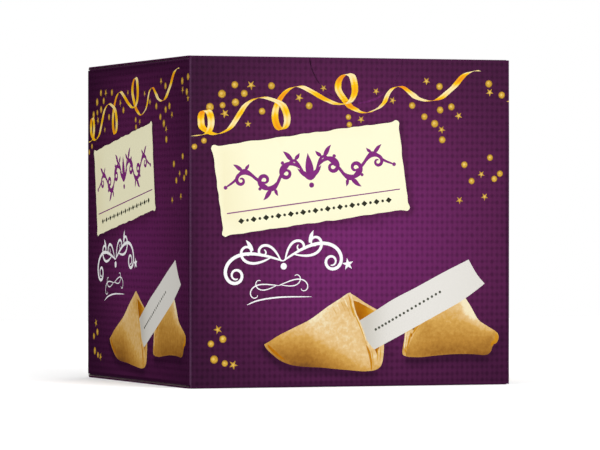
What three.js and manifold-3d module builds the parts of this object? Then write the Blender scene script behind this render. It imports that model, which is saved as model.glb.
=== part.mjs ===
// A shut folding carton for fortune cookies, in millimetres, +Z up.
//
// One blank of coated board is creased into a square box. Four wall panels run round it, and a glue
// flap inside the back left corner joins the first wall to the last. The lid and the base are straight
// tuck ends: each hinges on the back panel and folds down, or up, behind the front panel. The side
// panels' dust flaps fold in under them. A half-moon of perforation in the front panel tears out when
// the lid is first lifted. The shut carton is one solid, with its folds, slits, cut edges and
// perforation as relief. The origin is the middle of the base, and the front faces -Y.

import * as THREE from "three";
import { mergeVertices } from "three/addons/utils/BufferGeometryUtils.js";
import Module from "manifold-3d";

const wasm = await Module();
wasm.setup();

// Driving dimensions of the shut carton.
const WIDTH = 104;
const DEPTH = 104;
const HEIGHT = 100;
const BOARD = 0.5;

// A scored fold's outer radius, and the straight sides that its quarter turn is drawn with.
const FOLD_RADIUS = 0.9;
const FOLD_SIDES = 6;

// The tuck ends: how far the lid and base stop short of the side walls, the slit in front of their
// tuck fold, and how far the front panel's cut edges stop short of their faces.
const END_INSET = 0.5;
const SLIT_WIDTH = 0.4;
const SLIT_DEPTH = 2;
const CUT_EDGE_DROP = 0.2;

// The glued corner: the left panel's cut edge stops short of the back face, and the groove beside it
// runs in to this depth.
const GLUED_EDGE_STEP = 0.3;
const GLUED_GROOVE_DEPTH = 0.6;

// The half-moon tab: a row of cuts on a circle centred a little above the front panel's top edge.
const TAB_RADIUS = 15.3;
const TAB_CENTRE_X = 1.4;
const TAB_CENTRE_RISE = 1.7;
const TAB_CUTS = 15;
const TAB_TIE_SHARE = 0.2;
const TAB_CUT_WIDTH = 0.35;
const TAB_CUT_DEPTH = 0.4;
const TAB_CUT_SIDES = 3;

// How far a cutting or joining solid runs past the faces that it meets.
const RUN_PAST = 1;

const FRONT_Y = -DEPTH / 2;
const BACK_Y = DEPTH / 2;
const LEFT_X = -WIDTH / 2;
const RIGHT_X = WIDTH / 2;

// Turns a closed three.js geometry into a solid that can be joined and cut.
function solidOf(geometry) {
  geometry.deleteAttribute("normal");
  geometry.deleteAttribute("uv");
  const merged = mergeVertices(geometry, 1e-4);
  return new wasm.Manifold(
    new wasm.Mesh({
      numProp: 3,
      vertProperties: merged.attributes.position.array,
      triVerts: new Uint32Array(merged.index.array),
    }),
  );
}

// Extrudes a shape from one end to the other along an axis. Across X the shape's own axes are Y and
// Z, across Y they are X and Z, and across Z they are X and Y.
function prism(shape, axis, from, to) {
  const geometry = new THREE.ExtrudeGeometry(shape, {
    depth: to - from,
    bevelEnabled: false,
    curveSegments: FOLD_SIDES,
  });
  const x = new THREE.Vector3(1, 0, 0);
  const y = new THREE.Vector3(0, 1, 0);
  const z = new THREE.Vector3(0, 0, 1);
  const turn = new THREE.Matrix4();
  if (axis === "x") turn.makeBasis(y, z, x).setPosition(from, 0, 0);
  if (axis === "y") turn.makeBasis(x, z, y.negate()).setPosition(0, to, 0);
  if (axis === "z") turn.makeBasis(x, y, z).setPosition(0, 0, from);
  return solidOf(geometry.applyMatrix4(turn));
}

// A box between two corners.
function block(low, high) {
  const size = high.map((value, i) => value - low[i]);
  const geometry = new THREE.BoxGeometry(...size);
  geometry.translate(...low.map((value, i) => value + size[i] / 2));
  return solidOf(geometry);
}

// The walls seen from above: three rounded folds, and the glued corner at the back left, where the
// back panel turns in under the left panel and leaves a narrow groove beside its cut edge.
function wallOutline() {
  const r = FOLD_RADIUS;
  const inner = LEFT_X + BOARD;
  const grooveY = BACK_Y - GLUED_GROOVE_DEPTH;
  const rise = grooveY - (BACK_Y - r);
  const grooveAngle = Math.PI - Math.asin(rise / r);
  const shape = new THREE.Shape();
  shape.absarc(LEFT_X + r, FRONT_Y + r, r, Math.PI, 1.5 * Math.PI, false);
  shape.absarc(RIGHT_X - r, FRONT_Y + r, r, 1.5 * Math.PI, 2 * Math.PI, false);
  shape.absarc(RIGHT_X - r, BACK_Y - r, r, 0, 0.5 * Math.PI, false);
  shape.absarc(inner + r, BACK_Y - r, r, 0.5 * Math.PI, grooveAngle, false);
  shape.lineTo(inner, grooveY);
  shape.lineTo(inner, BACK_Y - GLUED_EDGE_STEP);
  shape.lineTo(LEFT_X, BACK_Y - GLUED_EDGE_STEP);
  shape.closePath();
  return shape;
}

// The walls seen from the front: the side panels' dust flaps fold in one board under the lid and one
// board over the base.
function foldedSides() {
  const r = FOLD_RADIUS;
  const low = BOARD;
  const high = HEIGHT - BOARD;
  const shape = new THREE.Shape();
  shape.absarc(LEFT_X + r, low + r, r, Math.PI, 1.5 * Math.PI, false);
  shape.absarc(RIGHT_X - r, low + r, r, 1.5 * Math.PI, 2 * Math.PI, false);
  shape.absarc(RIGHT_X - r, high - r, r, 0, 0.5 * Math.PI, false);
  shape.absarc(LEFT_X + r, high - r, r, 0.5 * Math.PI, Math.PI, false);
  shape.closePath();
  return shape;
}

// The lid and the base seen from the side, as one outline: each runs from its hinge fold at the back
// to its tuck fold just behind the front panel.
function tuckEnds() {
  const r = FOLD_RADIUS;
  const front = FRONT_Y + BOARD + SLIT_WIDTH;
  const shape = new THREE.Shape();
  shape.absarc(front + r, r, r, Math.PI, 1.5 * Math.PI, false);
  shape.absarc(BACK_Y - r, r, r, 1.5 * Math.PI, 2 * Math.PI, false);
  shape.absarc(BACK_Y - r, HEIGHT - r, r, 0, 0.5 * Math.PI, false);
  shape.absarc(front + r, HEIGHT - r, r, 0.5 * Math.PI, Math.PI, false);
  shape.closePath();
  return shape;
}

// The front panel: a board's thickness of the walls, cut off square just below the lid's face and
// just above the base's.
function frontPanel() {
  const panel = prism(wallOutline(), "z", CUT_EDGE_DROP, HEIGHT - CUT_EDGE_DROP);
  const slab = block(
    [LEFT_X - RUN_PAST, FRONT_Y - RUN_PAST, -RUN_PAST],
    [RIGHT_X + RUN_PAST, FRONT_Y + BOARD, HEIGHT + RUN_PAST],
  );
  return panel.intersect(slab);
}

// The slit between the front panel and a tuck fold, cut down from the lid or up from the base.
function slit(atLid) {
  const reach = WIDTH / 2 - BOARD - END_INSET;
  const low = atLid ? HEIGHT - SLIT_DEPTH : -RUN_PAST;
  const high = atLid ? HEIGHT + RUN_PAST : SLIT_DEPTH;
  const front = FRONT_Y + BOARD;
  return block([-reach, front, low], [reach, front + SLIT_WIDTH, high]);
}

// One cut of the half-moon's perforation: a short arc band, sunk into the front face.
function tabCut(index) {
  const edge = Math.asin(TAB_CENTRE_RISE / TAB_RADIUS);
  const step = (Math.PI - 2 * edge) / TAB_CUTS;
  const start = Math.PI + edge + step * (index + TAB_TIE_SHARE / 2);
  const sweep = step * (1 - TAB_TIE_SHARE);
  const outer = TAB_RADIUS + TAB_CUT_WIDTH / 2;
  const inner = TAB_RADIUS - TAB_CUT_WIDTH / 2;
  const centreZ = HEIGHT - CUT_EDGE_DROP + TAB_CENTRE_RISE;
  const at = (radius, turn) => [
    TAB_CENTRE_X + radius * Math.cos(start + sweep * turn),
    centreZ + radius * Math.sin(start + sweep * turn),
  ];
  const shape = new THREE.Shape();
  shape.moveTo(...at(outer, 0));
  for (let i = 1; i <= TAB_CUT_SIDES; i++) shape.lineTo(...at(outer, i / TAB_CUT_SIDES));
  for (let i = TAB_CUT_SIDES; i >= 0; i--) shape.lineTo(...at(inner, i / TAB_CUT_SIDES));
  shape.closePath();
  return prism(shape, "y", FRONT_Y - RUN_PAST, FRONT_Y + TAB_CUT_DEPTH);
}

// Joins the walls, the front panel and the tuck ends, and cuts the slits and the perforation.
function cartonSolid() {
  const walls = prism(wallOutline(), "z", BOARD, HEIGHT - BOARD).intersect(
    prism(foldedSides(), "y", FRONT_Y - RUN_PAST, BACK_Y + RUN_PAST),
  );
  const ends = prism(tuckEnds(), "x", LEFT_X + END_INSET, RIGHT_X - END_INSET).intersect(
    prism(wallOutline(), "z", -RUN_PAST, HEIGHT + RUN_PAST),
  );
  let carton = walls.add(ends).add(frontPanel());
  carton = carton.subtract(slit(true)).subtract(slit(false));
  for (let i = 0; i < TAB_CUTS; i++) carton = carton.subtract(tabCut(i));
  return carton;
}

// Turns a solid back into a geometry that three.js can draw.
function geometryOf(solid) {
  const mesh = solid.getMesh();
  const geometry = new THREE.BufferGeometry();
  geometry.setAttribute("position", new THREE.BufferAttribute(mesh.vertProperties, 3));
  geometry.setIndex(new THREE.BufferAttribute(mesh.triVerts, 1));
  geometry.computeVertexNormals();
  return geometry;
}

const printedBoard = new THREE.MeshStandardMaterial({
  color: 0x5a2450,
  roughness: 0.5,
  metalness: 0,
  flatShading: true,
});

const carton = new THREE.Mesh(geometryOf(cartonSolid()), printedBoard);
carton.name = "carton";

const pack = new THREE.Group();
pack.name = "fortune_cookie_carton";
pack.add(carton);

export default pack;
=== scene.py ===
import cmath
import math
import random

import bpy
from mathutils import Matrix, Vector
from mathutils.geometry import delaunay_2d_cdt


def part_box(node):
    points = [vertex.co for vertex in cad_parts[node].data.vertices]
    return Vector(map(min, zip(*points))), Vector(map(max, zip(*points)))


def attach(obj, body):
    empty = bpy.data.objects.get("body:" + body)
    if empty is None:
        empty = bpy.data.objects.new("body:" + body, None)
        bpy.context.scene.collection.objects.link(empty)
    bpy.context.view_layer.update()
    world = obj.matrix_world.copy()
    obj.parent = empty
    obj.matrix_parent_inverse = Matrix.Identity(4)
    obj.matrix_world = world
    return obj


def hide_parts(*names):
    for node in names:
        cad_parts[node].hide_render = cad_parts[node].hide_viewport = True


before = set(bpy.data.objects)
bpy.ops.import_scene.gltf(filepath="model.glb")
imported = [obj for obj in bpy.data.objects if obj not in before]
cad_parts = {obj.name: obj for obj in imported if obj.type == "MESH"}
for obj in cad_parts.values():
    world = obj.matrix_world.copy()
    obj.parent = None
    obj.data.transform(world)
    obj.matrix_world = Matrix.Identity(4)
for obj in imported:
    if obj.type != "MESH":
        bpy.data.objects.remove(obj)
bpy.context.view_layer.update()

# --- Camera ---------------------------------------------------------------------------------------
# A long lens looks level at the middle of the carton, from a little to the left of its front, so
# the front and the left panel show and the lid and the base are seen edge on.
VIEW_TURN = math.radians(19.95)
VIEW_DISTANCE = 1.321
VIEW_LENS = 251.2
# The aim lies this far right of the carton's middle and below it, in metres.
AIM_ASIDE = 0.0019
AIM_DROP = 0.0009

carton_low, carton_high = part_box("carton")
look = Vector((math.sin(VIEW_TURN), math.cos(VIEW_TURN), 0))
rightward = Vector((look.y, -look.x, 0))
aim = (carton_low + carton_high) / 2 + rightward * AIM_ASIDE - Vector((0, 0, AIM_DROP))

camera = bpy.data.objects.new("camera", bpy.data.cameras.new("camera"))
camera.data.sensor_width = 36
camera.data.lens = VIEW_LENS
camera.location = aim - look * VIEW_DISTANCE
camera.rotation_euler = (math.pi / 2, 0, -VIEW_TURN)
bpy.context.collection.objects.link(camera)
bpy.context.scene.camera = camera

# --- Blank ----------------------------------------------------------------------------------------
# One sheet of 0.5 mm folding boxboard, die-cut to its outline and creased where it folds. It lies
# flat here: s runs along the walls from the left panel's cut edge, by the front, the right and the
# back panel to the glue flap, and t runs up from the walls' mid-height.
MM = 0.001
BOARD = 0.5
FOLD_RADIUS = 0.9
FOLD_ARC = FOLD_RADIUS * math.pi / 2
FOLD_STEPS = 6
FOLD_GAP = 0.05
TUCK_SLIT = 0.4
FRONT_DROP = 0.2
GLUED_STEP = 0.3
GLUE_FLAP = 14
DUST_FLAP = 40
TUCK_FLAP = 16
SHOULDER_DROP = 1.1

# The lid and the base reach past the back panel's ends, and their tuck folds are notched. The tuck
# flaps and the dust flaps taper toward their tips.
LID_LEFT_REACH = 0.7
LID_RIGHT_REACH = 1.2
TUCK_NOTCH = 0.8
TUCK_CORNER_IN = 3
TUCK_CORNER_DROP = 5
FLAP_TAPER = 9
FLAP_FLARE = 0.4
FLAP_BEVEL = 1
FLAP_BEVEL_RISE = 6
GLUE_FLAP_TAPER = 4

# How far the dust flaps' sides stand in from their panel's two ends.
LEFT_FLAP_INSETS = (1.2, 0.9)
RIGHT_FLAP_INSETS = (0.9, 0.6)

# Points nearer to each other than this, in millimetres, count as one.
SAME_PLACE = 1e-3

width, depth, height = (carton_high - carton_low) / MM
half = height / 2
shoulder = half - SHOULDER_DROP
dust_fold = half - BOARD - FOLD_GAP - FOLD_RADIUS
lid_fold = half - FOLD_RADIUS
lid_run = depth - 2 * FOLD_RADIUS - BOARD - TUCK_SLIT

wall_runs = [
    depth - GLUED_STEP - FOLD_RADIUS,
    width - 2 * FOLD_RADIUS,
    depth - 2 * FOLD_RADIUS,
    width - 2 * FOLD_RADIUS - BOARD - FOLD_GAP,
    GLUE_FLAP,
]
spans = []
for run in wall_runs:
    start = spans[-1][1] + FOLD_ARC if spans else 0
    spans.append((start, start + run))
left, front, right, back, glued = spans
lid_sides = (back[0] - LID_LEFT_REACH, back[1] + LID_RIGHT_REACH)
mid_creases = [end + FOLD_ARC / 2 for start, end in spans[:-1]]

# The straight runs up each panel from mid-height: the front panel and the glue flap don't fold.
rises = [
    [dust_fold, DUST_FLAP],
    [half],
    [dust_fold, DUST_FLAP],
    [lid_fold, lid_run, TUCK_FLAP],
    [half],
]


def flap_edge(start, end, side):
    """A flap's cut edge between two ends: how far in and how high the points of each side lie."""
    rising = [complex(start + inward, high) for inward, high in side]
    return rising + [complex(end - inward, high) for inward, high in reversed(side)]


# The cut edge along the top of each panel, from the middle of one crease to the middle of the next.
# The bottom of the blank is its mirror image. The lid and the base reach over the back corners.
front_edge = half - FRONT_DROP
tuck_fold = lid_fold + FOLD_ARC + lid_run
lid_tip = tuck_fold + FOLD_ARC + TUCK_FLAP
dust_flap_side = [
    (-FLAP_FLARE, shoulder),
    (0, dust_fold),
    (FLAP_BEVEL, dust_fold + FOLD_ARC + FLAP_BEVEL_RISE),
    (FLAP_TAPER, dust_fold + DUST_FLAP),
]
lid_side = [
    (0, lid_fold),
    (0, tuck_fold - TUCK_NOTCH),
    (TUCK_NOTCH, tuck_fold),
    (TUCK_NOTCH, tuck_fold + FOLD_ARC),
    (TUCK_CORNER_IN, lid_tip - TUCK_CORNER_DROP),
    (FLAP_TAPER, lid_tip),
]
top_edges = [
    [
        complex(0, shoulder),
        *flap_edge(left[0] + LEFT_FLAP_INSETS[0], left[1] - LEFT_FLAP_INSETS[1], dust_flap_side),
        complex(mid_creases[0], shoulder),
    ],
    [
        complex(mid_creases[0], shoulder),
        complex(mid_creases[0], front_edge),
        complex(mid_creases[1], front_edge),
        complex(mid_creases[1], shoulder),
    ],
    [
        complex(mid_creases[1], shoulder),
        *flap_edge(right[0] + RIGHT_FLAP_INSETS[0], right[1] - RIGHT_FLAP_INSETS[1], dust_flap_side),
        complex(mid_creases[2], shoulder),
    ],
    [
        complex(mid_creases[2], shoulder),
        complex(back[0], shoulder),
        *flap_edge(*lid_sides, lid_side),
        complex(back[1], shoulder),
        complex(mid_creases[3], shoulder),
    ],
    [
        complex(mid_creases[3], shoulder),
        complex(glued[1], shoulder - GLUE_FLAP_TAPER),
    ],
]

# Each crease is a band of fine lines across the fold, with one more beside it on either side.
CREASE_MARGIN = 0.35
across_fold = [FOLD_ARC * i / FOLD_STEPS for i in range(FOLD_STEPS + 1)]
across_fold = [-CREASE_MARGIN, *across_fold, FOLD_ARC + CREASE_MARGIN]


def creases(panel):
    """The crease lines on one panel: across its flaps' folds, and along its half of each corner.

    The line in the middle of a corner is left out, because the panels' own edges run along it.
    """
    start, end = spans[panel]
    lines = []
    level = 0
    for run in rises[panel][:-1]:
        level += run
        for step in across_fold:
            low, high = lid_sides if panel == 3 and level + step > shoulder else (start, end)
            lines += [(complex(low, t), complex(high, t)) for t in (level + step, -level - step)]
        level += FOLD_ARC
    for step in across_fold:
        if panel > 0 and step > FOLD_ARC / 2 + SAME_PLACE:
            s = start - FOLD_ARC + step
            lines.append((complex(s, -half), complex(s, half)))
        if panel < 4 and step < FOLD_ARC / 2 - SAME_PLACE:
            lines.append((complex(end + step, -half), complex(end + step, half)))
    return lines


# The half-moon tab: a row of cuts right through the front panel, on a circle centred a little above
# its edge. They gape at the left and close up toward the right.
TAB_RADIUS = 15.3
TAB_ASIDE = 1.4
TAB_RISE = 1.7
TAB_CENTRE = complex(front[0] - FOLD_RADIUS + width / 2 + TAB_ASIDE, half - FRONT_DROP + TAB_RISE)
TAB_CUTS = 15
TAB_CUT_SIDES = 4
TAB_TIE_SHARE = 0.2
TAB_CUT_WIDEST = 0.12
TAB_CUT_NARROWEST = 0.04

tab_cuts = []
tab_start = math.pi + math.asin(TAB_RISE / TAB_RADIUS)
tab_step = (3 * math.pi - 2 * tab_start) / TAB_CUTS
for i in range(TAB_CUTS):
    turns = [
        tab_start + tab_step * (i + TAB_TIE_SHARE / 2 + (1 - TAB_TIE_SHARE) * j / TAB_CUT_SIDES)
        for j in range(TAB_CUT_SIDES + 1)
    ]
    gape = TAB_CUT_NARROWEST + (TAB_CUT_WIDEST - TAB_CUT_NARROWEST) * max(0, 1 - 2 * i / TAB_CUTS)
    outer = [TAB_CENTRE + cmath.rect(TAB_RADIUS + gape / 2, turn) for turn in turns]
    inner = [TAB_CENTRE + cmath.rect(TAB_RADIUS - gape / 2, turn) for turn in turns]
    tab_cuts.append(outer + inner[::-1])

# --- Plum ground ----------------------------------------------------------------------------------
# Litho ink over the whole sheet, brightest behind the middle of each panel, with a basket weave
# printed tone on tone, under a satin water-based varnish.
WEAVE_ACROSS = 1.65
WEAVE_UP = 2.02
WEAVE_CHECKS = 0.35
WEAVE_SLUBS = 3.0
# The board's fibres are about 0.03 mm wide. They are drawn coarser, or they would not show.
PAPER_FIBRE = 0.25
# Folds wear pale where the board's fibres come through the ink.
WORN_FOLD = "#9a6f96"

inks = {}


def linear(colour):
    """An sRGB hex colour as linear red, green, blue and alpha."""
    parts = [int(colour[i : i + 2], 16) / 255 for i in (1, 3, 5)]
    return [c / 12.92 if c <= 0.04045 else ((c + 0.055) / 1.055) ** 2.4 for c in parts] + [1.0]


def add(tree, kind, inputs=None, **settings):
    """Adds a node with its settings. Its inputs are numbers, colours or the sockets to link."""
    made = tree.nodes.new(kind)
    for name, value in settings.items():
        setattr(made, name, value)
    for name, value in (inputs or {}).items():
        if isinstance(value, bpy.types.NodeSocket):
            tree.links.new(value, made.inputs[name])
        else:
            made.inputs[name].default_value = value
    return made


def litho_ink(name, stops, weave=0.0, mottle=0.0):
    """Ink under satin varnish: flat colour with a low, even sheen and the board's fine grain.

    Its tone picks a colour between the stops, and folds are worn pale. weave darkens it by the basket
    pattern, and mottle lets its tone wander over about a millimetre and a half.
    """
    material = bpy.data.materials.new(name)
    material.use_nodes = True
    tree = material.node_tree
    tree.nodes.clear()
    sheet = add(tree, "ShaderNodeAttribute", attribute_name="sheet").outputs["Vector"]
    tone = add(tree, "ShaderNodeAttribute", attribute_name="tone").outputs["Fac"]
    fold = add(tree, "ShaderNodeAttribute", attribute_name="fold").outputs["Fac"]

    if mottle:
        cloud = {"Vector": sheet, "Scale": 0.7, "Detail": 6.0, "Roughness": 0.65}
        patches = add(tree, "ShaderNodeTexNoise", cloud)
        reach = {"From Min": 0.3, "From Max": 0.7, "To Min": -mottle, "To Max": mottle}
        wander = add(tree, "ShaderNodeMapRange", {"Value": patches.outputs["Fac"], **reach})
        tone = add(tree, "ShaderNodeMath", {0: tone, 1: wander.outputs[0]}, operation="ADD").outputs[0]
    ramp = add(tree, "ShaderNodeValToRGB", {"Fac": tone})
    elements = ramp.color_ramp.elements
    while len(elements) < len(stops):
        elements.new(0.5)
    for element, (place, colour) in zip(elements, sorted(stops.items())):
        element.position = place
        element.color = linear(colour)
    colour = ramp.outputs["Color"]

    if weave:
        axes = add(tree, "ShaderNodeSeparateXYZ", {"Vector": sheet})
        waves = []
        for axis, spacing in (("X", WEAVE_ACROSS), ("Y", WEAVE_UP)):
            for cell in (spacing, 2 * spacing):
                turns = {0: axes.outputs[axis], 1: 2 * math.pi / cell}
                turn = add(tree, "ShaderNodeMath", turns, operation="MULTIPLY")
                wave = add(tree, "ShaderNodeMath", {0: turn.outputs[0]}, operation="COSINE")
                waves.append(wave.outputs[0])
        fine = add(tree, "ShaderNodeMath", {0: waves[0], 1: waves[2]}, operation="ADD")
        checker = add(tree, "ShaderNodeMath", {0: waves[1], 1: waves[3]}, operation="MULTIPLY")
        checks = {0: checker.outputs[0], 1: WEAVE_CHECKS, 2: fine.outputs[0]}
        both = add(tree, "ShaderNodeMath", checks, operation="MULTIPLY_ADD")
        slubs = add(tree, "ShaderNodeTexNoise", {"Vector": sheet, "Scale": 1 / WEAVE_ACROSS, "Detail": 2.0})
        uneven = {0: slubs.outputs["Fac"], 1: WEAVE_SLUBS, 2: both.outputs[0]}
        threads = add(tree, "ShaderNodeMath", uneven, operation="MULTIPLY_ADD")
        depths = {
            "Value": threads.outputs[0],
            "From Min": -0.8 + WEAVE_SLUBS / 2,
            "From Max": 2.2 + WEAVE_SLUBS / 2,
            "To Min": 1 + weave / 3,
            "To Max": 1 - weave,
        }
        shade = add(tree, "ShaderNodeMapRange", depths)
        pits = {0: colour, "Scale": shade.outputs[0]}
        colour = add(tree, "ShaderNodeVectorMath", pits, operation="SCALE").outputs["Vector"]

    fibres = add(tree, "ShaderNodeTexNoise", {"Vector": sheet, "Scale": 1 / PAPER_FIBRE, "Detail": 3.0})
    bare = {"From Min": 0.35, "From Max": 0.7, "To Min": 0.1, "To Max": 0.3}
    worn = add(tree, "ShaderNodeMapRange", {"Value": fibres.outputs["Fac"], **bare})
    wear = add(tree, "ShaderNodeMath", {0: fold, 1: worn.outputs[0]}, operation="MULTIPLY")
    blend = {"Factor": wear.outputs[0], "A": colour, "B": linear(WORN_FOLD)}
    colour = add(tree, "ShaderNodeMix", blend, data_type="RGBA").outputs["Result"]
    sheen = {"Value": fibres.outputs["Fac"], "To Min": 0.2, "To Max": 0.28}
    gloss = add(tree, "ShaderNodeMapRange", sheen)
    relief = {"Height": fibres.outputs["Fac"], "Strength": 0.06, "Distance": 0.00005}
    grain = add(tree, "ShaderNodeBump", relief)
    varnish = {
        "Base Color": colour,
        "Roughness": gloss.outputs[0],
        "IOR": 1.5,
        "Specular IOR Level": 0.25,
        "Normal": grain.outputs["Normal"],
    }
    shader = add(tree, "ShaderNodeBsdfPrincipled", varnish)
    add(tree, "ShaderNodeOutputMaterial", {"Surface": shader.outputs["BSDF"]})
    inks[name] = material
    return name


# Plum litho ink is deep and even, so the weave in it reads as rows of darker pits.
plum = litho_ink("plum litho ink", {0.0: "#2e0f29", 0.5: "#581e4c", 1.0: "#722767"}, weave=0.32)

# What prints over the ground throws soft shade on it: outline, how far it spreads, how dark it is.
shades = []

# Where the ground glows, and how far the glow reaches to each side, up and down.
GLOW_CENTRE = 46.4 + 44.2j
GLOW_LEFT = 37.1
GLOW_RIGHT = 62.6
GLOW_UP = 55.5
GLOW_DOWN = 41.5


def beside(place, line, reach):
    """1 on a line's points, and softly less at a distance from them."""
    return math.exp(-((min(abs(place - point) for point in line) / reach) ** 2))


def plum_tone(place):
    """The ground glows behind the label's lower right corner and is darkest at the panel's left."""
    away = place - GLOW_CENTRE
    across = away.real / (GLOW_RIGHT if away.real > 0 else GLOW_LEFT)
    up = away.imag / (GLOW_UP if away.imag > 0 else GLOW_DOWN)
    tone = math.exp(-(across**2) - up**2)
    for line, spread, dark in shades:
        tone *= 1 - dark * beside(place, line, spread)
    return tone


# --- Streamer -------------------------------------------------------------------------------------
# A curled paper streamer printed in gold across the top of the panel. It is drawn as with a broad
# nib: the line is swept sideways, so it is thin at its crests and wide where it rises and falls.
STREAMER_STEPS = 6

# How far the nib reaches, from places along the panel: it is turned finer on the rise over the
# label's corner and broader on the last one, where it runs out in a point.
nib_reaches = [
    (0, 2.1 + 0.42j), (51.9, 2.1 + 0.42j), (53.2, 1.6 + 0.25j), (66, 1.5 + 0.25j), (69.2, 1.4 + 0.3j),
    (70.8, 2.1 + 0.35j), (76, 1.8 + 0.3j), (80, 2.6 + 0.15j), (84, 2.3 + 0.12j), (88, 2.3 + 0.2j),
    (91, 2.4 + 0.5j), (93.8, 0.2 + 0.07j), (94.7, 0j),
]
# The line that the nib's left end follows, and its colour there from orange, 0, to pale, 1.
streamer_line = [
    (0.2 + 75.7j, 0.8), (2.9 + 75.9j, 0.6), (4.9 + 76.8j, 0.5), (5.7 + 79.2j, 0.95), (5.5 + 81.7j, 0.45),
    (4.7 + 83.1j, 0.9), (3.6 + 83.3j, 0.0), (2.7 + 82.4j, 0.1), (2.5 + 80.1j, 0.75), (3.2 + 77.9j, 0.35),
    (7 + 76.1j, 0.5), (11 + 77.5j, 0.5), (12.8 + 79.4j, 0.95), (14.6 + 82.1j, 0.5), (16.7 + 85.1j, 0.9),
    (18.9 + 86.6j, 0.5), (21.1 + 87.3j, 0.35), (23.5 + 87.2j, 1.0), (27.8 + 85.7j, 0.9), (29.4 + 83.5j, 0.5),
    (30 + 81j, 0.9), (29.6 + 78.8j, 0.6), (28.3 + 77.7j, 0.2), (26.9 + 78.6j, 0.15), (26.1 + 80.9j, 0.35),
    (26.2 + 83.5j, 0.8), (27.1 + 86j, 0.2), (28.6 + 88.2j, 0.1), (30.6 + 90j, 0.6), (32.6 + 90.7j, 0.1),
    (34.8 + 90.7j, 1.0), (38.8 + 88.8j, 0.5), (41.2 + 87.45j, 0.3), (44 + 86.25j, 0.8), (46.3 + 85.6j, 0.5),
    (49.9 + 86j, 0.95), (51.8 + 89.3j, 0.3), (51.2 + 93.6j, 0.95), (49.9 + 94.7j, 1.0), (48.4 + 94.5j, 0.1),
    (47 + 93.2j, 0.05), (46.4 + 91.4j, 0.5), (46.8 + 89.2j, 0.75), (49.8 + 85.4j, 0.1), (51.2 + 84.4j, 0.3),
    (52.8 + 83.7j, 0.8), (54.7 + 83.15j, 0.3), (56.4 + 83.15j, 0.2), (57.8 + 83.7j, 0.9), (60 + 84.65j, 0.95),
    (61.1 + 85.65j, 0.6), (61.9 + 86.6j, 0.5), (62.7 + 88.5j, 0.95), (63.5 + 89.7j, 0.9), (64.6 + 90.7j, 0.5),
    (66.1 + 91.2j, 0.3), (67.3 + 91.2j, 0.0), (68.3 + 90.8j, 0.05), (69.6 + 89.8j, 0.6), (70.7 + 88.8j, 0.95),
    (72 + 87.8j, 1.0), (73.7 + 87.25j, 1.0), (75.3 + 86.9j, 0.8), (76.7 + 86.9j, 0.1), (78.1 + 87.1j, 0.1),
    (79.2 + 87.55j, 0.35), (80.7 + 88.6j, 0.75), (82.3 + 89.9j, 1.0), (84.1 + 91.3j, 0.85),
    (85.8 + 93.2j, 0.1), (87.4 + 94.85j, 0.3), (89 + 95.75j, 0.95), (90.7 + 96.15j, 0.8),
    (92.6 + 96.35j, 0.9), (94.6 + 96.3j, 0.9),
]

# The streamer's gold is flat yellow ink with no metal in it. Its shine is printed, as pale stretches.
gold_streamer = litho_ink("gold streamer ink", {0.0: "#f49410", 0.55: "#fecb0c", 1.0: "#fbe9ac"})


def curve(points, steps=8):
    """A smooth line through given points."""
    ends = [2 * points[0] - points[1], *points, 2 * points[-1] - points[-2]]
    line = []
    for before, start, end, after in zip(ends, ends[1:], ends[2:], ends[3:]):
        for i in range(steps):
            f = i / steps
            bend = 2 * before - 5 * start + 4 * end - after + f * (3 * (start - end) - before + after)
            line.append(start + f / 2 * (end - before + f * bend))
    return [*line, points[-1]]


def nib_reach(place):
    """The nib at a place along the panel, from its left end to its right."""
    for (start, reach), (end, next_reach) in zip(nib_reaches, nib_reaches[1:]):
        if place.real < end:
            return reach + (next_reach - reach) * max(0, (place.real - start) / (end - start))
    return 0j


# Three strips side by side make the fine stripes along the streamer. It is printed from its right
# end, so that in each loop the part nearer the left end lies on top. Where the line runs along the
# nib, a strip is a hairline or crosses itself, and is left out: an outline that crosses itself would
# ink the whole panel. In one that doesn't, all corners turn the same way, by more than this.
STRIPE_TONES = (0.1, -0.1, 0.04)
NIB_HAIRLINE = 0.002
streamer = []
nib_line = curve([place for place, tone in streamer_line], STREAMER_STEPS)
nib_tones = curve([tone for place, tone in streamer_line], STREAMER_STEPS)
for i, (start, end) in enumerate(zip(nib_line, nib_line[1:])):
    sweeps = nib_reach(start), nib_reach(end)
    for strip, change in enumerate(STRIPE_TONES):
        quad = [
            start + sweeps[0] * strip / 3,
            end + sweeps[1] * strip / 3,
            end + sweeps[1] * (strip + 1) / 3,
            start + sweeps[0] * (strip + 1) / 3,
        ]
        sides = [b - a for a, b in zip(quad, quad[1:] + quad[:1])]
        turns = [(a.conjugate() * b).imag for a, b in zip(sides, sides[1:] + sides[:1])]
        if min(turns) > NIB_HAIRLINE or max(turns) < -NIB_HAIRLINE:
            streamer.append((quad, gold_streamer, nib_tones[i] + change))
streamer.reverse()

# --- Confetti -------------------------------------------------------------------------------------
# Loose dots and five-pointed stars in gold ink. They fall in clusters beside the streamer and lie
# in two more, at the right and the lower left of the panel.
STAR_WAIST = 0.4
# The shares of a dot's radius that its face and its glint take up, and of a star's its bright middle.
DOT_FACE = 0.78
DOT_GLINT = 0.34
STAR_GLINT = 0.5

# The confetti's gold is flat ink too, but mottled, so that it looks like dull foil.
gold_ink = litho_ink(
    "gold confetti ink",
    {0.0: "#835b16", 0.3: "#a87c24", 0.65: "#d5a83a", 1.0: "#f3d67c"},
    mottle=0.16,
)


def disc(centre, radius, sides=18):
    """A round dot."""
    return [centre + cmath.rect(radius, 2 * math.pi * i / sides) for i in range(sides)]


def star(centre, radius, turn):
    """A five-pointed star with one point at an angle in degrees."""
    return [
        centre + cmath.rect(radius * (STAR_WAIST if i % 2 else 1), math.radians(turn + 36 * i))
        for i in range(10)
    ]


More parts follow.
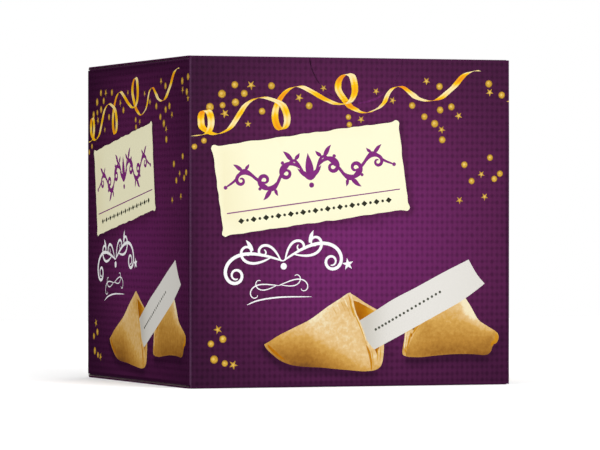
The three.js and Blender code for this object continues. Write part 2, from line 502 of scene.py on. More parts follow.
# Each dot's centre and radius.
fallen_dots = [
    (14.3 + 91.3j, 1.1), (26.0 + 91.1j, 1.1), (10.2 + 88.5j, 1.25), (17.3 + 88.7j, 1.1), (14.5 + 86.0j, 1.2),
    (10.4 + 85.1j, 0.95), (6.4 + 84.5j, 1.25), (23.0 + 83.4j, 1.05), (4.5 + 74.4j, 0.9), (38.1 + 85.2j, 1.1),
    (50.8 + 81.9j, 0.9), (51.1 + 79.6j, 0.9), (1.5 + 72.6j, 0.9), (71.6 + 85.6j, 1.05), (80.6 + 91.5j, 1.1),
    (80.8 + 84.3j, 1.1), (84.5 + 85.3j, 1.1), (75.6 + 82.2j, 1.05), (79.0 + 80.1j, 1.2), (81.5 + 75.2j, 1.1),
    (96.9 + 92.5j, 1.15), (101.2 + 89.1j, 1.1), (97.3 + 69.8j, 1.0), (88.8 + 67.6j, 1.05),
    (100.6 + 64.9j, 1.0), (98.7 + 63.3j, 1.0), (91.2 + 62.6j, 1.0), (10.5 + 14.8j, 1.15),
    (6.7 + 13.4j, 1.05), (7.7 + 8.7j, 1.25), (11.1 + 7.5j, 1.0),
]
# Each star's centre, its radius, and the angle of one of its points.
fallen_stars = [
    (19.5 + 91.2j, 1.5, 59), (11.1 + 82.6j, 1.5, 44), (18.5 + 79.5j, 1.1, 18), (34.9 + 87.6j, 1.4, 64),
    (42.7 + 90.6j, 1.1, 48), (59.8 + 89.8j, 1.15, 60), (54.9 + 81.2j, 1.2, 52), (65.2 + 87.1j, 1.2, 68),
    (76.3 + 93.1j, 1.3, 54), (86.9 + 82.6j, 1.3, 46), (81.3 + 78.3j, 1.3, 62), (97.2 + 89.9j, 1.3, 56),
    (94.4 + 64.7j, 1.2, 50), (95.5 + 57.8j, 1.25, 52), (87.2 + 56.7j, 1.25, 56), (8.9 + 17.7j, 1.45, 39),
    (13.8 + 7.0j, 1.5, 64),
]


def fallen(dots, stars):
    """Confetti on the sheet: dots are darker at their rims, and stars catch light in the middle."""
    printed = []
    for centre, radius in dots:
        printed.append((disc(centre, radius), gold_ink, 0.25))
        printed.append((disc(centre, radius * DOT_FACE), gold_ink, 0.62))
        glint = centre + radius * (-0.1 + 0.1j)
        printed.append((disc(glint, radius * DOT_GLINT), gold_ink, 0.85))
    for centre, radius, turn in stars:
        printed.append((star(centre, radius, turn), gold_ink, 0.45))
        printed.append((star(centre, radius * STAR_GLINT, turn), gold_ink, 0.8))
    return printed


# The front panel's right edge cuts one more star down to its tip. The side panels show a little more.
confetti = fallen(fallen_dots, fallen_stars)
star_tip = [([102.8 + 87.2j, 103.8 + 86.9j, 103.8 + 87.5j], gold_ink, 0.74)]
side_edge = fallen([(102.4 + 93.6j, 1.1)], [(102.3 + 87.1j, 1.25, 20)])

# --- Label ----------------------------------------------------------------------------------------
# A cream ticket with torn edges, printed at a tilt, with an ornament of vine scrolls, a rule, and a
# row of lozenges and dots.
LABEL_CENTRE = 38.8 + 63.3j
LABEL_WIDTH = 60.3
LABEL_HEIGHT = 27.1
LABEL_TILT = cmath.rect(1, math.radians(7.7))
TEAR_STEP = 2.1
TEAR_DEPTH = 0.16
CORNER_BULGE = 0.42
CORNER_REACH = 0.5
LEFT_END_FADE = 12
LABEL_SHADE_SHIFT = 0.5 - 0.5j

# On the label, from its middle: where the ornament and the row below it are centred.
ORNAMENT_PLACE = -0.2 + 2.1j
ROW_PLACE = -9.9j

# Cream ink is pale and even. The purple is rubbed a little thin, as from a dry brush, and the grey
# green is nearly black.
cream_ink = litho_ink("cream label ink", {0.0: "#efe3b4", 1.0: "#fffbd8"})
purple_ink = litho_ink("purple ornament ink", {0.0: "#6d2568", 1.0: "#8c3085"}, mottle=0.3)
grey_ink = litho_ink("grey green ink", {0.0: "#26271a", 1.0: "#54564b"})


def curl(start, heading, length, bend, end_bend, sharpening=2.0, steps=44):
    """A pen line that bends more and more, in radians a millimetre, into a scroll."""
    place = start
    angle = math.radians(heading)
    line = [place]
    for i in range(steps):
        angle += length / steps * (bend + (end_bend - bend) * ((i + 0.5) / steps) ** sharpening)
        place += cmath.rect(length / steps, angle)
        line.append(place)
    return line


def stroke(line, thick, thin, swell=0.5):
    """A pen stroke along a line, in short lengths: thin at its ends and thick between them."""
    last = len(line) - 1
    sides = []
    for i, place in enumerate(line):
        ahead = line[min(i + 1, last)] - line[max(i - 1, 0)]
        reach = (thin + (thick - thin) * math.sin(math.pi * i / last) ** swell) / 2
        sides.append((place + 1j * ahead / abs(ahead) * reach, place - 1j * ahead / abs(ahead) * reach))
    lengths = [sides[i : i + 7] for i in range(0, last, 6)]
    return [[a for a, b in length] + [b for a, b in reversed(length)] for length in lengths]


def leaf(root, heading, length, breadth, lean=0.0):
    """A pointed leaf, leaning to its left by a share of its length."""
    turn = cmath.rect(length, math.radians(heading))
    edges = []
    for side in (1, -1):
        for i in range(9):
            f = i / 8
            bow = lean * math.sin(math.pi * f / 2) ** 2
            edges.append(root + turn * complex(f, bow + side * breadth / 2 * math.sin(math.pi * f**0.75)))
    return edges[:9] + edges[:8:-1]


def mirrored(shapes):
    """Shapes and their mirror images to the left."""
    return shapes + [[-point.conjugate() for point in shape] for shape in shapes]


def placed(shapes, centre):
    """Shapes set round a centre, at the label's tilt."""
    return [[centre + LABEL_TILT * point for point in shape] for shape in shapes]


# The tear wanders a little along each side, and at each corner it bulges on both sides of the point.
random.seed(11)
ticket_corners = [
    complex(x * LABEL_WIDTH / 2, y * LABEL_HEIGHT / 2) for x, y in ((-1, -1), (1, -1), (1, 1), (-1, 1))
]
torn = []
for start, end in zip(ticket_corners, ticket_corners[1:] + ticket_corners[:1]):
    side = abs(end - start)
    heading = (end - start) / side
    count = round((side - 2 * TEAR_STEP) / TEAR_STEP)
    wander = [
        (TEAR_STEP + (side - 2 * TEAR_STEP) * i / count, random.uniform(-TEAR_DEPTH, TEAR_DEPTH))
        for i in range(count + 1)
    ]
    for along, out in [(CORNER_REACH, CORNER_BULGE), *wander, (side - CORNER_REACH, CORNER_BULGE)]:
        torn.append(start + heading * (along - 1j * out))
tear = [LABEL_CENTRE + LABEL_TILT * point for point in curve([*torn, torn[0]], 3)[:-1]]
shades.append(([point + LABEL_SHADE_SHIFT for point in tear[::2]], 1.3, 0.45))


def cream_tone(place):
    """The ticket is a little deeper in colour at its left end and along its torn edges."""
    local = (place - LABEL_CENTRE) / LABEL_TILT
    edge = min(LABEL_WIDTH / 2 - abs(local.real), LABEL_HEIGHT / 2 - abs(local.imag))
    left_end = max(0.0, 1 - (local.real + LABEL_WIDTH / 2) / LEFT_END_FADE)
    return 1 - 0.5 * left_end * min(1, max(edge, 0) / 1.5) - 0.1 * math.exp(-max(edge, 0) / 0.4)


# The ornament's right half, drawn from its own middle: a wavy vine, three scrolls, leaves and buds.
vine = [-2.6j, 1.6 - 1.2j, 4.6 + 3.9j, 8.8 + 0.6j, 12.6 - 3.9j, 17.2 - 0.2j, 20.8 + 3.0j, 24.2 + 0.3j]
half_vine = (
    stroke(curve([*vine, 27.0 - 1.2j]), thick=1.0, thin=0.3, swell=0.4)
    + stroke(curl(2.6 + 0.9j, 58, 15.5, -0.18, -1.25), 1.3, 0.25)
    + stroke(curl(9.9 - 0.9j, -62, 15.5, 0.18, 1.25), 1.3, 0.25)
    + stroke(curl(18.3 + 0.5j, 56, 12, -0.22, -1.5), 1.1, 0.22)
    + [
        leaf(4.9 + 4.0j, 35, 4.2, 0.36, 0.2),
        leaf(4.2 + 3.9j, 120, 2.6, 0.46, 0.15),
        leaf(12.8 - 3.9j, -30, 4.2, 0.36, -0.2),
        leaf(12.0 - 3.8j, -120, 2.4, 0.46, 0.15),
        leaf(21.2 + 3.0j, 25, 3.6, 0.36, 0.2),
        leaf(20.4 + 3.0j, 120, 2.2, 0.46, 0.15),
        disc(27.4 - 1.4j, 0.6),
        disc(8.4 + 3.6j, 0.55),
        disc(16.6 - 3.2j, 0.5),
    ]
)
centre_leaves = [
    leaf(-2.6j, 90, 8.2, 0.32),
    leaf(-0.1 - 2.2j, 128, 5.2, 0.31, 0.15),
    leaf(0.1 - 2.2j, 52, 5.2, 0.31, -0.15),
    disc(-4.2j, 0.8),
]
row = []
for x in range(-24, 26, 2):
    row.append(disc(x, 0.45, 12) if x % 4 else [x + 0.9j, x + 1.0, x - 0.9j, x - 1.0])

label = [(tear, cream_ink, cream_tone)]
for shape in placed(mirrored(half_vine) + centre_leaves, LABEL_CENTRE + LABEL_TILT * ORNAMENT_PLACE):
    label.append((shape, purple_ink, 0.7))
rule = [-28.2 - 6.9j, 28.1 - 6.9j, 28.1 - 7.23j, -28.2 - 7.23j]
label.append((placed([rule], LABEL_CENTRE)[0], purple_ink, 0.7))
for shape in placed(row, LABEL_CENTRE + LABEL_TILT * ROW_PLACE):
    label.append((shape, grey_ink, 0.15))

# --- White flourish -------------------------------------------------------------------------------
# Opaque white pen scrolls with a small star, printed under the label and at the same tilt, over a
# finer pair of scrolls and a single long stroke.
FLOURISH_PLACE = 29.3 + 41.2j
FINE_FLOURISH_PLACE = 28.2 + 31.4j

# Opaque white lies thick over the plum and covers it fully, so it is bright and even.
white_ink = litho_ink("opaque white ink", {0.0: "#e9e4ea", 1.0: "#ffffff"})

scrolls = mirrored(
    stroke(curl(-3.0j, 26, 38, -0.012, -0.82, 2.2, 60), 1.05, 0.35, 0.6)
    + stroke(curl(3.6 - 1.4j, -20, 19, 0.03, 1.0, 1.8), 0.85, 0.25, 0.6)
    + stroke(curl(0.6 - 3.0j, 70, 15, -0.02, -1.25, 1.8), 0.8, 0.25, 0.6)
    + [leaf(9.0 + 1.3j, 50, 4.0, 0.34, 0.2)]
) + [disc(-4.6j, 1.0)]
fine_scrolls = mirrored(
    stroke(curl(-0.6j, 14, 14, 0.0, -1.15, 2.5), 0.36, 0.15)
    + stroke(curl(0.8 - 0.5j, -18, 10, 0.02, 1.2), 0.32, 0.15)
)
flourish = placed(scrolls, FLOURISH_PLACE)
flourish += placed(fine_scrolls, FINE_FLOURISH_PLACE)
flourish += stroke(curve([18.1 + 25.0j, 22 + 26.4j, 29 + 27.3j, 38.9 + 27.4j]), 0.45, 0.08)
flourish.append(star(50.6 + 37.2j, 1.9, 26))
white_flourish = [(shape, white_ink, 1.0) for shape in flourish]

# --- Cookie picture -------------------------------------------------------------------------------
# A fortune cookie snapped in two, printed life-like in baked browns: each half is a thin wafer
# folded over, with a hollow inside. A blank slip comes out of the left half and lies over the right.

# The wafer's browns are mottled like a baked crust, the hollow's are deeper and warmer, and the slip
# is a cool grey white, almost flat.
wafer_ink = litho_ink(
    "baked wafer ink",
    {0.0: "#7a4d22", 0.2: "#9d6925", 0.45: "#bd8838", 0.65: "#d6a552", 0.85: "#e9c58a", 1.0: "#f6e8c2"},
    mottle=0.1,
)
hollow_ink = litho_ink("baked hollow ink", {0.0: "#a05800", 0.5: "#c07a04", 1.0: "#d6a030"}, mottle=0.1)
slip_ink = litho_ink("paper slip ink", {0.0: "#a9a39c", 0.5: "#d3cfc6", 1.0: "#e9e6e0"})


def drawn(line, thick, thin, ink, tone, swell=0.5):
    """A stroke along a line as areas of one ink."""
    return [(area, ink, tone) for area in stroke(line, thick, thin, swell)]


def soft_spots(place, spots):
    """What soft round spots add up to at a place."""
    return sum(change * math.exp(-(abs(place - centre) / radius) ** 2) for centre, radius, change in spots)


left_top = [23.7 + 13.1j, 25.9 + 14.3j, 28.6 + 15.9j, 34 + 18.4j, 38.6 + 20.6j, 44 + 24.3j, 48 + 26.7j]
left_top = curve([*left_top, 50.5 + 28.3j, 51.4 + 28.5j], 4)
left_mouth = [51.4 + 28.5j, 52.1 + 26.2j, 52.5 + 24.2j, 53.2 + 21.9j, 54.1 + 20.1j, 55.3 + 17.4j]
left_mouth = curve([*left_mouth, 56.2 + 15.1j, 57 + 12.6j, 58 + 10.1j, 58.6 + 7.3j, 58.7 + 4.8j], 4)
left_base = [58.7 + 4.8j, 55.7 + 4.6j, 51.1 + 5j, 46.6 + 5.4j, 42.1 + 5.9j, 37.9 + 6.1j, 34.6 + 6.4j]
left_base = curve([*left_base, 31.6 + 7j, 28.6 + 8.3j, 26.2 + 10.1j, 24.3 + 11.9j, 23.7 + 13.1j], 4)
left_near_leaf = left_top[:-1] + left_mouth[:-1] + left_base[:-1]
left_far_leaf = curve([51 + 28.6j, 53 + 27.5j, 56.1 + 25.5j, 58.8 + 24j, 61.4 + 22.6j], 4)
left_far_leaf += curve([62.4 + 13.4j, 62.3 + 10.6j, 61.9 + 7.6j, 61.2 + 6j, 59.9 + 5.1j, 58 + 4.65j], 4)
left_far_leaf.append(53 + 12j)
left_hollow = [52.1 + 26.3j, 54 + 25.7j, 56 + 24.7j, 59.4 + 22.9j, 61.6 + 18j, 60.7 + 11.6j]
left_hollow += [60 + 9.5j, 55 + 11j]
left_curled_lip = curve([56.4 + 14.5j, 58.3 + 12.1j, 59.5 + 10.9j, 60.1 + 9.3j, 60.2 + 7j, 59.9 + 5.2j], 4)
left_curled_lip += [59 + 4.8j, 58 + 4.7j, 57 + 9j]
shades.append(([point - 0.9j for point in left_base], 1.6, 0.75))
shades.append(([63.4 + 12j, 63.4 + 10j, 63 + 8j, 62 + 6j], 2.5, 0.3))

# Short wrinkles run down from the peak beside the mouth: both ends, thickness and tone.
left_wrinkles = [
    (49.3 + 27.2j, 50.8 + 23.6j, 0.35, 0.95),
    (48.2 + 26.2j, 49.9 + 22.8j, 0.3, 0.68),
    (47.0 + 25.2j, 48.2 + 22.9j, 0.3, 0.95),
    (45.9 + 23.9j, 47.0 + 21.9j, 0.25, 0.7),
    (50.3 + 24.6j, 51.6 + 21.0j, 0.3, 0.7),
]


def left_tone(place):
    """The near leaf is pale above and browns evenly toward its belly, at the lower left."""
    belly_top = min(14.4, 14 - 0.53 * (place.real - 38))
    tone = 0.6 + 0.07 * (place.imag - belly_top)
    tone = 0.86 - 0.06 * math.log1p(math.exp((0.86 - tone) / 0.06))
    tone += 0.1 * beside(place, left_top[16:28], 1.6)
    tone += 0.15 * beside(place, left_base[28:], 0.9)
    tone -= 0.08 * beside(place, left_mouth[22:40], 0.8)
    return tone + soft_spots(place, ((50.3 + 25j, 2.5, -0.1), (41.5 + 20j, 4, 0.04), (56 + 14j, 2, -0.07)))


def left_far_tone(place):
    """The far leaf is browner along its foot."""
    return 0.82 - 0.25 * math.exp(-((place.imag - 5) / 1.6) ** 2)


def left_hollow_tone(place):
    """Light falls into the hollow past the far leaf's upper edge."""
    return 0.3 + soft_spots(place, ((58.8 + 23j, 2.2, 0.6), (54 + 21.5j, 2, -0.2), (60.4 + 10j, 2, -0.1)))


def left_lip_tone(place):
    """The curled lip is pale but for its two ends."""
    return 0.88 + soft_spots(place, ((59 + 5j, 2.2, -0.25), (58.2 + 10.4j, 1, -0.15)))


right_mouth = [78 + 22.4j, 75.6 + 20.2j, 73 + 16.9j, 71.9 + 15j, 71 + 13.3j, 70.1 + 11.4j, 69.5 + 9.8j]
right_mouth = curve([*right_mouth, 69.7 + 9j], 4)
right_base = curve([70.6 + 8.8j, 74.5 + 8.7j, 78.8 + 9.1j, 84.6 + 9.5j, 90.5 + 9.5j, 95.1 + 9.1j], 4)
right_end = [96.6 + 9.3j, 97.6 + 10.2j, 98 + 11.4j, 98.9 + 12.8j, 99.8 + 13.3j, 100.2 + 14.6j]
right_end = curve([*right_end, 99.9 + 15.8j], 3)
right_ridge = [98.9 + 16.6j, 96.3 + 18.1j, 93.8 + 19.7j, 92.5 + 21.4j, 91 + 24j, 89 + 26.9j, 87 + 29j]
right_ridge = curve(right_ridge, 4)
right_near_leaf = right_mouth + right_base + right_end + right_ridge
right_far_leaf = [69.3 + 19j, 69.2 + 16.2j, 69 + 14.1j, 68.6 + 12j, 68.4 + 10j, 69.1 + 9.2j, 70.6 + 8.8j]
right_far_leaf = curve(right_far_leaf, 4) + [72.6 + 10.0j, 77.0 + 23.0j]
right_gap = stroke(curve([74.8 + 20.4j, 73 + 17.8j, 71.8 + 15.9j], 6), 0.7, 0.1)
right_gap += stroke(curve([71.2 + 16.3j, 70.8 + 14.7j, 70.3 + 13j, 69.9 + 11.2j], 6), 0.6, 0.1)
# The far leaf's lip is crimped beside the gap: both ends, thickness, ink and tone of each line.
right_crimps = [
    (69.7 + 16.6j, 69.0 + 11.4j, 0.5, wafer_ink, 0.95),
    (70.3 + 16.6j, 69.7 + 11.8j, 0.4, wafer_ink, 0.86),
    (70.0 + 16.5j, 69.4 + 12.0j, 0.2, hollow_ink, 0.95),
    (69.2 + 11.2j, 69.7 + 9.9j, 0.5, hollow_ink, 0.7),
    (71.6 + 16.1j, 71.2 + 14.9j, 0.5, hollow_ink, 0.35),
    (72.3 + 18.0j, 71.8 + 17.0j, 0.55, wafer_ink, 0.15),
]
shades.append(([point - 0.9j for point in right_base], 1.7, 0.8))
shades.append(([point + 1 for point in right_end], 2.2, 0.35))


def right_tone(place):
    """The near leaf browns toward its base, and its ridge and upper right corner are pale."""
    above = place.imag - 14
    tone = 0.44 + (0.034 if above > 0 else 0.065) * above
    tone += 0.27 * beside(place, right_ridge, 2.4) * min(1, (place.imag - 12) / 6)
    tone += 0.1 * beside(place, right_mouth, 1.6)
    tone += 0.16 * beside(place, right_base[:16], 0.7)
    tone += soft_spots(place, ((97.3 + 14.6j, 1, -0.16), (96.2 + 12.7j, 0.9, -0.1), (98.4 + 16j, 1, -0.08)))
    return tone + soft_spots(place, ((73 + 10j, 4, 0.18), (90 + 22j, 2.5, 0.14), (75.8 + 18.6j, 2, -0.12)))


def right_end_tone(place):
    """The broken end is darker toward the base."""
    return 0.3 + 0.08 * (place.imag - 9)


def right_far_tone(place):
    """The far leaf browns a little toward its foot."""
    return 0.74 + soft_spots(place, ((68.6 + 11j, 2, -0.16), (69.4 + 16j, 2, 0.1)))


# The slip bows a little along its length, and it is greyer where it leaves the hollow.
slip_line = curve([55.4 + 15.0j, 66.4 + 20.9j, 79.4 + 27.9j, 92.6 + 34.8j], 10)
slip = curve([52 + 18.6j, 60.2 + 23.4j, 65.7 + 26.6j, 73 + 30.1j, 81.7 + 34.5j, 90.2 + 38.5j], 5)
slip += curve([90.2 + 38.5j, 91.9 + 35.6j, 93.4 + 33.4j, 95.5 + 31.1j], 4)[1:]
slip_foot = [95.5 + 31.1j, 92.8 + 29.1j, 89.4 + 26.8j, 86.4 + 25j, 80 + 21.7j, 69.2 + 16.2j, 57 + 10.1j]
slip += curve(slip_foot, 5)[1:]


def slip_tone(place):
    """The slip is in the hollow's shade at its left end, and its bow catches light."""
    along = (place - slip_line[0]).real
    return 0.84 - 0.42 * math.exp(-((along - 1) / 5) ** 2) + 0.14 * math.sin(math.pi * along / 40)


# The row of dots takes the middle of the slip. What lies behind is printed first.
dots = [(disc(slip_line[i], 0.42, 10), grey_ink, 1.0) for i in range(4, 22)]

cookie = [(right_far_leaf, wafer_ink, right_far_tone)]
cookie += [(area, hollow_ink, 0.75) for area in right_gap]
for start, end, thick, ink, tone in right_crimps:
    cookie += drawn(curve([start, end], 6), thick, 0.08, ink, tone)
cookie.append((right_near_leaf, wafer_ink, right_tone))
cookie += drawn([place - 0.7 for place in right_end[7:]], 1.2, 0.15, hollow_ink, right_end_tone)
cookie.append((left_far_leaf, wafer_ink, left_far_tone))
cookie.append((left_hollow, hollow_ink, left_hollow_tone))
cookie += [(slip, slip_ink, slip_tone), *dots]
cookie.append((left_curled_lip, wafer_ink, left_lip_tone))
cookie.append((left_near_leaf, wafer_ink, left_tone))
# Browned lines run along the near leaf's lower left rim and inside its mouth, whose edge is pale.
left_rim = [place + 0.9 + 0.5j for place in left_base[31:43]]
cookie += drawn(left_rim, 0.9, 0.1, hollow_ink, 0.35)
cookie += drawn([place - 0.75 for place in left_mouth[1:15]], 0.5, 0.1, hollow_ink, 0.85)
cookie += drawn(left_mouth[:28], 0.6, 0.2, wafer_ink, 0.9)
cookie += drawn([place - 0.35 for place in left_mouth[8:26]], 0.35, 0.1, hollow_ink, 1.0)
cookie += drawn([place - 0.4 for place in left_mouth[28:41]], 0.75, 0.1, hollow_ink, 0.6)
# The curled lip has fine upright ridges.
for start, end in ((58.6 + 10.4j, 58.9 + 6.0j), (60.4 + 11.5j, 60.1 + 7.6j), (61.4 + 12.0j, 61.0 + 7.4j)):
    cookie += drawn(curve([start, end], 6), 0.3, 0.05, hollow_ink, 1.0)
for start, end, thick, tone in left_wrinkles:
    cookie += drawn(curve([start, end], 6), thick, 0.05, wafer_ink, tone)

# --- Folding --------------------------------------------------------------------------------------
# The printed sheet is folded along its creases: the walls run round, the glue flap goes inside the
# back left corner, the dust flaps fold in, and the lid and the base tuck in behind the front panel.
# Its outer face carries the print, its inner face is bare board, and its cut edges are painted dark plum as
# painted shade.

# Uncoated board is pressed from recycled pulp: grey, matt and flecked with fibres.
raw_board = bpy.data.materials.new("uncoated grey board")
raw_board.use_nodes = True
tree = raw_board.node_tree
tree.nodes.clear()
sheet = add(tree, "ShaderNodeAttribute", attribute_name="sheet").outputs["Vector"]
pulp = add(tree, "ShaderNodeTexNoise", {"Vector": sheet, "Scale": 1 / PAPER_FIBRE, "Detail": 4.0})
greys = add(tree, "ShaderNodeValToRGB", {"Fac": pulp.outputs["Fac"]})
greys.color_ramp.elements[0].color = linear("#9d9788")
greys.color_ramp.elements[1].color = linear("#c4beae")
relief = {"Height": pulp.outputs["Fac"], "Strength": 0.15, "Distance": 0.0001}
rough = add(tree, "ShaderNodeBump", relief)
matt = {"Base Color": greys.outputs["Color"], "Roughness": 0.85, "Normal": rough.outputs["Normal"]}
board = add(tree, "ShaderNodeBsdfPrincipled", matt)
add(tree, "ShaderNodeOutputMaterial", {"Surface": board.outputs["BSDF"]})

wall_print = confetti + streamer + label + white_flourish + cookie
lid_print = confetti + streamer + label
wall_origins = [complex(-GLUED_STEP, -half)]
wall_origins += [complex(start - FOLD_RADIUS, -half) for start, end in (front, right, back)]
lid_origin = complex(back[1] + FOLD_RADIUS, tuck_fold + FOLD_RADIUS)
base_origin = complex(back[0] - FOLD_RADIUS, -tuck_fold - FOLD_RADIUS)

# Along the half-moon's cuts a soft rim is painted into the ground: painted shade at the left and a
# painted highlight at the lower right, each between two angles round the half-moon.
RIM_WIDTH = 0.6
RIM_ENDS_WIDTH = 0.2
RIM_STEPS = 24
SHADED_RIM = (187, 219)
HIGHLIT_RIM = (272, 306)


def rim_shade(place):
    """The ground's tone darkened, as painted shade."""
    return 0.5 * plum_tone(place)


def rim_highlight(place):
    """The ground's tone lightened, as a painted highlight."""
    return 1.8 * plum_tone(place)


painted_rim_light = []
for (first, last), tone in ((SHADED_RIM, rim_shade), (HIGHLIT_RIM, rim_highlight)):
    turns = [math.radians(first + (last - first) * i / RIM_STEPS) for i in range(RIM_STEPS + 1)]
    arc = [TAB_CENTRE - wall_origins[1] + cmath.rect(TAB_RADIUS, turn) for turn in turns]
    painted_rim_light += drawn(arc, RIM_WIDTH, RIM_ENDS_WIDTH, plum, tone, swell=0.4)
edge_prints = [side_edge, star_tip + painted_rim_light, side_edge, []]

# Points between the outlines, where the tones are worked out: every 4 mm on the ground, and closer
# where they change fast, over the cookie and in the shade round the label.
COOKIE_GRID_STEP = 0.7
grid = [complex(x, y) for x in range(3, 102, 4) for y in range(3, 98, 4)]
label_grid = [LABEL_CENTRE + (point - LABEL_CENTRE) * f for point in tear[::2] for f in (1.03, 1.06, 1.1)]
cookie_grid = [
    complex(22 + COOKIE_GRID_STEP * i, 2 + COOKIE_GRID_STEP * j) for i in range(116) for j in range(41)
]


def bent(distance, runs):
    """The place on, and the heading of, a strip that turns a quarter circle left after each run."""
    place, heading = 0j, 1 + 0j
    for run in runs[:-1]:
        if distance < run:
            return place + heading * distance, heading
        place += heading * run
        distance -= run
        if distance < FOLD_ARC:
            turn = cmath.rect(1, distance / FOLD_RADIUS)
            return place + heading * 1j * FOLD_RADIUS * (1 - turn), heading * turn
        place += heading * (1 + 1j) * FOLD_RADIUS
        heading *= 1j
        distance -= FOLD_ARC
    return place + heading * distance, heading


EDGE_WEAR = 0.3


def folded(panel, point, sunk):
    """Where a point of the flat blank lies once folded, and how worn it is, from 0 to 1.

    A fold wears most half way round, and the upright corners wear more than the lid's and base's.
    """
    over = 0
    if panel == 3 and abs(point.imag) > shoulder + SAME_PLACE:
        over = point.real - min(max(point.real, back[0]), back[1])
    along, heading = bent(point.real - over, wall_runs)
    along += heading * over
    rise, tilt = bent(abs(point.imag), rises[panel])
    plan = complex(-width / 2, depth / 2 - GLUED_STEP) - 1j * along
    plan += heading * (rise.imag + sunk * tilt.real)
    z = half + math.copysign(rise.real - sunk * tilt.imag, point.imag)
    corner_wear, edge_wear = (abs(math.sin(2 * cmath.phase(turn))) ** 3 for turn in (heading, tilt))
    return Vector((plan.real, plan.imag, z)) * MM, max(corner_wear, EDGE_WEAR * edge_wear)


corners = {}
vertices = []
sheet_places = []
fold_wear = []


def corner(panel, point, sunk):
    """The number of the vertex at a point of the blank, on its outer face or sunk to its inner."""
    if (point, sunk) not in corners:
        corners[point, sunk] = len(vertices)
        place, wear = folded(panel, point, sunk)
        vertices.append(place)
        sheet_places.extend((point.real, point.imag, 0))
        fold_wear.append(wear)
    return corners[point, sunk]


def turned(outline):
    """Twice the area inside an outline, which is negative where it runs clockwise."""
    return sum((a.conjugate() * b).imag for a, b in zip(outline, outline[1:] + outline[:1]))


def meshed(outlines, lines, loose, cuts):
    """Triangles that fill the first outline but for the last ones, the cuts.

    Each comes with the number of the last outline that covers it. No outline may cross itself. Places
    are rounded to a micrometre, so that neighbouring panels share theirs.
    """
    outlines = [area[:: int(math.copysign(1, turned(area)))] for area in outlines]
    points = [point for area in outlines for point in area]
    areas = []
    for area in outlines:
        first = areas[-1][-1] + 1 if areas else 0
        areas.append(range(first, first + len(area)))
    edges = [(len(points) + 2 * i, len(points) + 2 * i + 1) for i in range(len(lines))]
    points += [end for line in lines for end in line] + loose
    flat = [Vector((point.real, point.imag)) for point in points]
    places, _, triangles, _, _, sources = delaunay_2d_cdt(flat, edges, areas, 1, 1e-4)
    places = [complex(round(x, 3), round(y, 3)) for x, y in places]
    for triangle, source in zip(triangles, sources):
        ends = [places[i] for i in triangle]
        if 0 in source and max(source) < len(outlines) - cuts and len(set(ends)) == 3:
            yield ends, max(source)


def loops(sides):
    """The closed outlines that sides make end to end, the largest first."""
    ahead = dict(sides)
    found = []
    while ahead:
        loop = [next(iter(ahead))]
        while loop[-1] in ahead:
            loop.append(ahead.pop(loop[-1]))
        found.append(loop[:-1])
    return sorted(found, key=lambda loop: -abs(turned(loop)))


# The cut edges take the plum ink at a dark tone, as painted shade in the narrow cuts and along the edges.
CUT_EDGE_SHADE_TONE = 0.3
SHARP_ANGLE = 40
# The side panels' tones are darkened a little, most of all in their ground: painted shade on the sides.
SIDE_SHADE_TONE = 0.87
SIDE_GROUND_SHADE_TONE = 0.72

# Each panel is filled and printed, its inner face is laid one board deeper, and its cut edges are
# closed. Where two panels join at a corner there is no edge to close.
ink_names = list(inks)
faces = []
face_inks = []
tones = []
for panel in range(len(spans)):
    outline = top_edges[panel] + [point.conjugate() for point in reversed(top_edges[panel])]
    cuts = tab_cuts if panel == 1 else []
    prints = []
    loose = []
    if panel < 4:
        panel_print = wall_print + edge_prints[panel]
        prints += [(area, ink, tone, wall_origins[panel], 1) for area, ink, tone in panel_print]
        loose += [wall_origins[panel] + point for point in grid + label_grid + cookie_grid]
    if panel == 3:
        prints += [(area, ink, tone, lid_origin, -1) for area, ink, tone in lid_print]
        loose += [lid_origin - point for point in grid + label_grid]
        loose += [base_origin + point for point in grid]
    areas = [[origin + turn * point for point in area] for area, _, _, origin, turn in prints]
    sides = {}
    for triangle, top in meshed([outline, *areas, *cuts], creases(panel), loose, len(cuts)):
        middle = sum(triangle) / 3
        ink, tone, origin, turn = plum, plum_tone, wall_origins[min(panel, 3)], 1
        if top:
            _, ink, tone, origin, turn = prints[top - 1]
        elif panel == 3 and middle.imag > half:
            origin, turn = lid_origin, -1
        elif panel == 3 and middle.imag < -half:
            origin = base_origin
        # Painted shade: the side panels' tones are scaled down.
        side_shade = 1
        if panel in (0, 2):
            side_shade = SIDE_GROUND_SHADE_TONE if ink == plum else SIDE_SHADE_TONE
        faces.append([corner(panel, point, 0) for point in triangle])
        face_inks.append(ink_names.index(ink))
        for i, point in enumerate(triangle):
            tones.append(side_shade * (tone((point - origin) / turn) if callable(tone) else tone))
            sides[point, triangle[i - 2]] = True
    rim = [side for side in sides if side[::-1] not in sides]
    edge_loops = loops(rim)
    for triangle, _ in meshed(edge_loops, creases(panel), [], len(cuts)):
        faces.append([corner(panel, point, BOARD) for point in reversed(triangle)])
        face_inks.append(len(ink_names))
        tones += [0] * 3
    for start, end in rim:
        joined = max(abs(start.imag), abs(end.imag)) < shoulder + SAME_PLACE
        if joined and panel > 0 and max(start.real, end.real) < mid_creases[panel - 1] + SAME_PLACE:
            continue
        if joined and panel < 4 and min(start.real, end.real) > mid_creases[panel] - SAME_PLACE:
            continue
        # Each cut edge is a face in the plum ink at the painted shade tone.
        ends = ((end, 0), (start, 0), (start, BOARD), (end, BOARD))
        faces.append([corner(panel, *place) for place in ends])
        face_inks.append(ink_names.index(plum))
        tones += [CUT_EDGE_SHADE_TONE] * 4

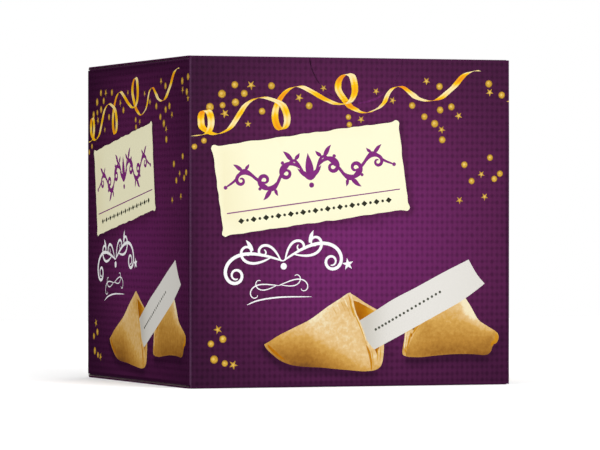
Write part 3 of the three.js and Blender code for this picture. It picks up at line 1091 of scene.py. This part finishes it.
mesh = bpy.data.meshes.new("printed_carton")
mesh.from_pydata(vertices, [], faces)
for name in ink_names:
    mesh.materials.append(inks[name])
mesh.materials.append(raw_board)
mesh.polygons.foreach_set("material_index", face_inks)
mesh.polygons.foreach_set("use_smooth", [True] * len(faces))
mesh.attributes.new("tone", "FLOAT", "CORNER").data.foreach_set("value", tones)
mesh.attributes.new("fold", "FLOAT", "POINT").data.foreach_set("value", fold_wear)
mesh.attributes.new("sheet", "FLOAT_VECTOR", "POINT").data.foreach_set("vector", sheet_places)
mesh.set_sharp_from_angle(angle=math.radians(SHARP_ANGLE))
carton = bpy.data.objects.new("printed_carton", mesh)
bpy.context.collection.objects.link(carton)

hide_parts("carton")
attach(carton, "root")

# --- Table and light ------------------------------------------------------------------------------
# A white table top that throws no light back at the walls, in a pale room. A large soft light
# stands over the front, one hangs overhead, and weak ones fill the left and the back.
TABLE_REACH = 0.8
LIGHTS_AIM = Vector((0, 0, 0.05))
ROOM_LIGHT = 0.38

table = bpy.data.objects.new("table", bpy.data.meshes.new("table"))
table_corners = [(x * TABLE_REACH, y * TABLE_REACH, 0) for x, y in ((-1, -1), (1, -1), (1, 1), (-1, 1))]
table.data.from_pydata(table_corners, [], [(0, 1, 2, 3)])
table_white = bpy.data.materials.new("white table top")
table_white.use_nodes = True
table.data.materials.append(table_white)
bpy.context.collection.objects.link(table)
table.visible_glossy = False
table.visible_diffuse = False
surface = table_white.node_tree.nodes["Principled BSDF"]
surface.inputs["Base Color"].default_value = linear("#ffffff")
surface.inputs["Roughness"].default_value = 0.9


def soft_light(name, place, size, watts):
    """A square area light, aimed at the carton's middle."""
    data = bpy.data.lights.new(name, "AREA")
    data.shape = "SQUARE"
    data.size = size
    data.energy = watts
    lamp = bpy.data.objects.new(name, data)
    lamp.location = place
    lamp.rotation_euler = (LIGHTS_AIM - lamp.location).to_track_quat("-Z", "Y").to_euler()
    bpy.context.collection.objects.link(lamp)
    return lamp


soft_light("key over the front", Vector((0.5, -1.55, 1.15)), 1.3, 29)
soft_light("top light", Vector((0, 0, 2.2)), 2.5, 30)
# The left fill throws no glare along the lid toward the right.
soft_light("left fill", Vector((-1.8, -0.3, 0.9)), 1.2, 18).visible_glossy = False
soft_light("back fill", Vector((0.9, 1.8, 0.8)), 1.2, 7)

# The room looks white behind the carton, but it lights it less.
world = bpy.context.scene.world or bpy.data.worlds.new("room")
bpy.context.scene.world = world
world.use_nodes = True
world.node_tree.nodes.clear()
ray = add(world.node_tree, "ShaderNodeLightPath")
levels = {"Value": ray.outputs["Is Camera Ray"], "To Min": ROOM_LIGHT, "To Max": 1.0}
strength = add(world.node_tree, "ShaderNodeMapRange", levels)
walls = {"Color": (1, 1, 1, 1), "Strength": strength.outputs[0]}
room = add(world.node_tree, "ShaderNodeBackground", walls)
add(world.node_tree, "ShaderNodeOutputWorld", {"Surface": room.outputs[0]})
world.cycles_visibility.glossy = False
bpy.context.scene.view_settings.view_transform = "Standard"
